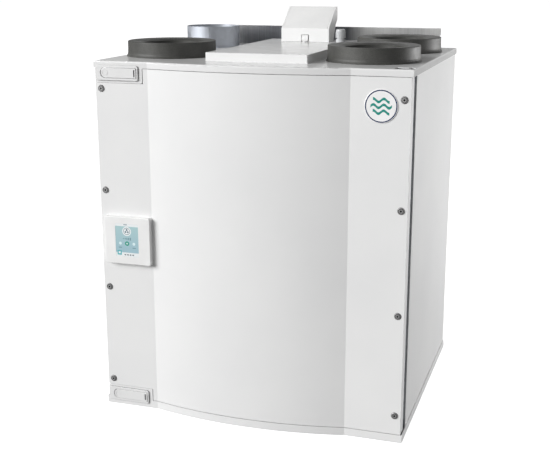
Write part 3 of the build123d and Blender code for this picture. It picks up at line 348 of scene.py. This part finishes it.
def badge_face():
    """A plain maker's disc with a generic air mark: a thin ring and three wavy strokes."""
    shade = Shade("badge_face", 0.25, Coat_Weight=0.5, Coat_Roughness=0.08)
    x, z = BADGE
    navy, green = (0.008, 0.022, 0.09), (0.02, 0.27, 0.22)
    look = shade.ramp(shade.noise(30, 3), (0.3, 0.88), (0.7, 0.92))
    look = shade.blend(shade.ring_mask(x, z, 31.0, 2.3), look, navy)
    along = shade.math("SUBTRACT", shade.axis("X"), x * MM)
    turns = shade.math("MULTIPLY", along, 2 * math.pi / (WAVE_LENGTH * MM))
    wave = shade.math("MULTIPLY", shade.math("SINE", turns), WAVE_HEIGHT * MM)
    for level, half in ((11.0, 16.0), (0.0, 20.5), (-11.0, 16.0)):
        off = shade.math("SUBTRACT", shade.math("SUBTRACT", shade.axis("Z"), (z + level) * MM), wave)
        stroke = shade.math("LESS_THAN", shade.math("ABSOLUTE", off), 2.6 * MM)
        inside = shade.math("LESS_THAN", shade.math("ABSOLUTE", along), half * MM)
        look = shade.blend(shade.math("MULTIPLY", stroke, inside), look, green)
    shade.colour(look)
    return shade.bump((shade.noise(800, 2), 0.05, 0.03)).mat


ROLLED_X = (0.03, 1, 1)      # stretches a pattern into lines along X
LOOKS = {
    "white_paint": paint("white_paint", (0.815, 0.815, 0.812), (0.785, 0.786, 0.786), 0.34),
    "gloss_paint": paint("gloss_paint", (0.79, 0.79, 0.787), (0.76, 0.761, 0.761), 0.19),
    "galvanised_steel": galvanised("galvanised_steel", (0.44, 0.45, 0.47), (0.58, 0.60, 0.62), 150, 0.48),
    "steel": brushed("steel", (0.46, 0.46, 0.47), 0.48, ROLLED_X, 0.8),
    "collar_rubber": rubber_foam(),
    "black_rubber": moulded("black_rubber", (0.022, 0.022, 0.023), 0.62, 700, 0.25, 0.4),
    "insulation_foam": beads("insulation_foam", (0.66, 0.67, 0.68)),
    "divider_foam": beads("divider_foam", (0.20, 0.21, 0.22), 2.8),
    "aluminium": brushed("aluminium", (0.72, 0.73, 0.74), 0.34, ROLLED_X),
    "motor_black": moulded("motor_black", (0.030, 0.030, 0.032), 0.50, 500, 0.30),
    "black_plastic": moulded("black_plastic", (0.035, 0.036, 0.038), 0.42),
    "filter_card": fibres("filter_card", (0.56, 0.44, 0.30), (0.44, 0.33, 0.21), 260),
    "filter_paper": fibres("filter_paper", (0.80, 0.80, 0.77), (0.66, 0.66, 0.63), 420),
    "circuit_board": circuit_board(),
    "grey_plastic": moulded("grey_plastic", (0.52, 0.53, 0.54), 0.40),
    "white_plastic": moulded("white_plastic", (0.85, 0.85, 0.845), 0.36, 1300, 0.10),
    "screen": display(),
    "badge_white": badge_face(),
}


def dress(name, material):
    """Put a look on a CAD node."""
    NODES[name].data.materials.clear()
    NODES[name].data.materials.append(material)


for row in frame["record"]["subparts"]:
    dress(row["node"], LOOKS[row["material_slot"]])

dress("hmi_housing", moulded("hmi_white", (0.90, 0.90, 0.895), 0.30, 1300, 0.08))
dress("wall_rail", rail_sheet())
dress("door_screws", door_screw())
LATCH_PLASTIC = latch_plastic()
for node in ("latch_plates", "latch_lever_top", "latch_lever_bottom"):
    dress(node, LATCH_PLASTIC)
for node in ("top_plate", "electrics_cover"):
    dress(node, LOOKS["gloss_paint"])
LOOKS["spigot"] = galvanised("spigot_zinc", (0.40, 0.42, 0.46), (0.56, 0.59, 0.64), 60, 0.52)
dress("extract_spigot", LOOKS["spigot"])


# ---- Small pieces made here -----------------------------------------------------------------------------

def piece(name, bm, body, look):
    """Turn a bmesh, in the CAD's frame, into a piece that rides on a body."""
    bmesh.ops.recalc_face_normals(bm, faces=bm.faces)
    mesh = bpy.data.meshes.new(name)
    bm.to_mesh(mesh)
    bm.free()
    mesh.materials.append(look)
    made = bpy.data.objects.new(name, mesh)
    bpy.context.scene.collection.objects.link(made)
    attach(made, body)


def seam_strip(name, centre, radius, facing, span, thick, low, high, body, look):
    """The lapped seam of a rolled tube: a thin curved strip up its outside. Degrees and millimetres."""
    bm = bmesh.new()
    steps = 8
    rows = []
    for step in range(steps + 1):
        angle = math.radians(facing + span * (step / steps - 0.5))
        rows.append([
            bm.verts.new((
                (centre[0] + r * math.cos(angle)) * MM, (centre[1] + r * math.sin(angle)) * MM, z * MM,
            ))
            for r, z in ((radius, low), (radius + thick, low), (radius + thick, high), (radius, high))
        ])
    for a, b in zip(rows, rows[1:]):
        for k in range(4):
            bm.faces.new((a[k], a[(k + 1) % 4], b[(k + 1) % 4], b[k]))
    bm.faces.new(rows[0])
    bm.faces.new(rows[-1][::-1])
    piece(name, bm, body, look)


SPIGOT = (-241.0, 167.0)
SPIGOT_R = 62.4
seam_strip(
    "spigot_seam", SPIGOT, SPIGOT_R, facing=-82.0, span=9.0, thick=0.9, low=750.2, high=797.0,
    body="cabinet", look=LOOKS["spigot"],
)


# ---- Stage, light and camera ----------------------------------------------------------------------------

def stage_floor():
    bm = bmesh.new()
    bmesh.ops.create_circle(bm, cap_ends=True, radius=FLOOR_RADIUS, segments=96)
    mesh = bpy.data.meshes.new("floor")
    bm.to_mesh(mesh)
    bm.free()
    made = bpy.data.objects.new("floor", mesh)
    made.location.z = -FLOOR_DROP
    bpy.context.scene.collection.objects.link(made)
    mat = bpy.data.materials.new("floor")
    mat.use_nodes = True
    tree = mat.node_tree
    tree.nodes.clear()
    pick = tree.nodes.new("ShaderNodeMixShader")
    tree.links.new(tree.nodes.new("ShaderNodeLightPath").outputs["Is Camera Ray"], pick.inputs[0])
    bounce = tree.nodes.new("ShaderNodeBsdfDiffuse")
    bounce.inputs["Color"].default_value = rgba(FLOOR_BOUNCE)
    seen = tree.nodes.new("ShaderNodeAddShader")
    matt = tree.nodes.new("ShaderNodeBsdfDiffuse")
    matt.inputs["Color"].default_value = rgba(FLOOR_SEEN)
    glow = tree.nodes.new("ShaderNodeEmission")
    glow.inputs["Strength"].default_value = FLOOR_GLOW
    tree.links.new(matt.outputs[0], seen.inputs[0])
    tree.links.new(glow.outputs[0], seen.inputs[1])
    tree.links.new(bounce.outputs[0], pick.inputs[1])
    tree.links.new(seen.outputs[0], pick.inputs[2])
    tree.links.new(pick.outputs[0], tree.nodes.new("ShaderNodeOutputMaterial").inputs["Surface"])
    mesh.materials.append(mat)


def studio_world():
    """Plain white to the camera; as light, brightest at the horizon and dimmer overhead."""
    world = bpy.data.worlds.new("studio")
    bpy.context.scene.world = world
    world.use_nodes = True
    tree = world.node_tree
    tree.nodes.clear()
    split = tree.nodes.new("ShaderNodeSeparateXYZ")
    tree.links.new(tree.nodes.new("ShaderNodeTexCoord").outputs["Generated"], split.inputs[0])
    ramp = tree.nodes.new("ShaderNodeValToRGB")
    for element, (position, grey) in zip(ramp.color_ramp.elements, WORLD_STOPS):
        element.position = position
        element.color = rgba(grey)
    tree.links.new(split.outputs["Z"], ramp.inputs[0])
    sky = tree.nodes.new("ShaderNodeBackground")
    tree.links.new(ramp.outputs[0], sky.inputs["Color"])
    white = tree.nodes.new("ShaderNodeBackground")
    white.inputs["Color"].default_value = rgba(1.0)
    pick = tree.nodes.new("ShaderNodeMixShader")
    tree.links.new(tree.nodes.new("ShaderNodeLightPath").outputs["Is Camera Ray"], pick.inputs[0])
    tree.links.new(sky.outputs[0], pick.inputs[1])
    tree.links.new(white.outputs[0], pick.inputs[2])
    tree.links.new(pick.outputs[0], tree.nodes.new("ShaderNodeOutputWorld").inputs["Surface"])


def soft_light(name, place, target, size, watts):
    data = bpy.data.lights.new(name, "AREA")
    data.shape = "RECTANGLE"
    data.size, data.size_y = size
    data.energy = watts
    made = bpy.data.objects.new(name, data)
    made.location = place
    made.rotation_mode = "QUATERNION"
    made.rotation_quaternion = (Vector(target) - Vector(place)).to_track_quat("-Z", "Y")
    bpy.context.scene.collection.objects.link(made)


FLOOR_RADIUS = 60.0
FLOOR_DROP = 0.0005         # just under the base, so that the two don't share a plane
FLOOR_SEEN = 0.80           # the floor's own grey, to the camera
FLOOR_GLOW = 0.78           # added to it, so that the floor reads as white
FLOOR_BOUNCE = 0.25         # the floor's grey as it lights the unit
WORLD_STOPS = ((0.0, 0.58), (0.6, 0.20))    # height above the horizon, brightness
MIDDLE = (0.0, 0.0, 0.42)
# Each light: name, place, target, width and height, watts.
LIGHTS = (
    ("key", (-15.2, -14.0, 8.6), MIDDLE, (15.0, 10.0), 6000),
    ("side", (1.85, 1.25, 0.46), (0.33, 0.16, 0.50), (1.0, 0.50), 34),
    ("back", (-0.4, 4.6, 3.4), (0.0, 0.0, 0.75), (3.2, 1.0), 25),
)
stage_floor()
studio_world()
for light in LIGHTS:
    soft_light(*light)

CAMERA_PLACE = (0.6499, -2.1052, 0.9278)
CAMERA_LENS = 64.95
CAMERA_SENSOR = 36.0
CAMERA_FAR = 200.0
RIGHT = Vector((0.95149, 0.30768, -0.00038))
UP = Vector((-0.07622, 0.23693, 0.96853))
FORWARD = Vector((-0.29809, 0.92152, -0.24889))
camera_data = bpy.data.cameras.new("camera")
camera_data.sensor_width = CAMERA_SENSOR
camera_data.lens = CAMERA_LENS
camera_data.clip_end = CAMERA_FAR
camera = bpy.data.objects.new("camera", camera_data)
bpy.context.scene.collection.objects.link(camera)
bpy.context.scene.camera = camera
camera.matrix_world = Matrix.Translation(CAMERA_PLACE) @ Matrix((RIGHT, UP, -FORWARD)).transposed().to_4x4()
bpy.context.scene.view_settings.view_transform = "Standard"
